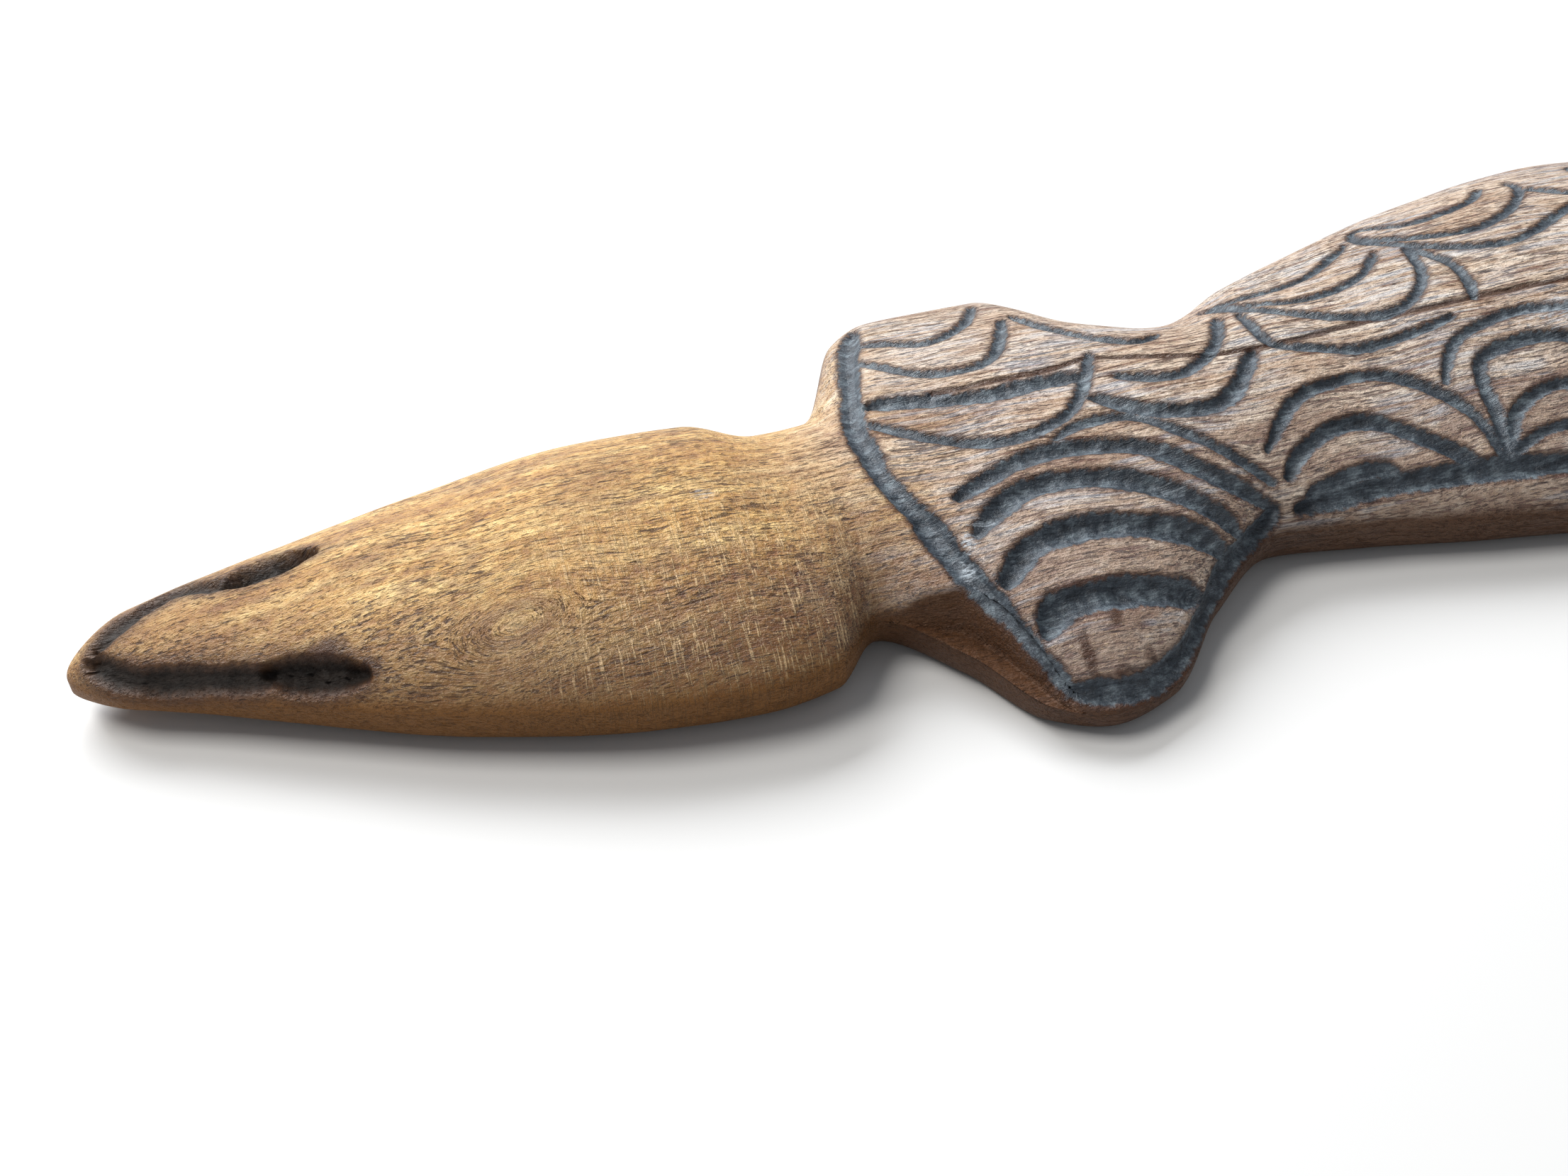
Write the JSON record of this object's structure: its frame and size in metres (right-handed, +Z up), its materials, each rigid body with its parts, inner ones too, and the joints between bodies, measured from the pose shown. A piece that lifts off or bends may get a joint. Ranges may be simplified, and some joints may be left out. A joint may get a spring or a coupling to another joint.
{
  "type": "carved wooden boomerang",
  "caption": "One-piece carved hardwood boomerang shaped as a lizard, flat below and domed above, with burnt groove decoration.",
  "frame": {"origin": "on the flat underside, on the spine line, half way round the elbow", "axes": "+X along the head arm, from the head towards the tail; +Y to the outer side of the elbow; +Z up, out of the domed top"},
  "size_m": [0.3637, 0.2318, 0.018],
  "materials": {
    "wood": "oiled satin hardwood, golden on the head and reddish brown on the back",
    "char": "hot-wire charred wood, slate grey satin"
  },
  "bodies": {
    "root": {"carved_wood": "wood", "char_face": "char", "char_collar": "char", "char_near_foreleg": "char", "char_far_foreleg": "char", "char_back_near": "char", "char_back_far": "char", "char_elbow": "char", "char_hind_legs": "char", "char_tail": "char"}
  },
  "joints": []
}
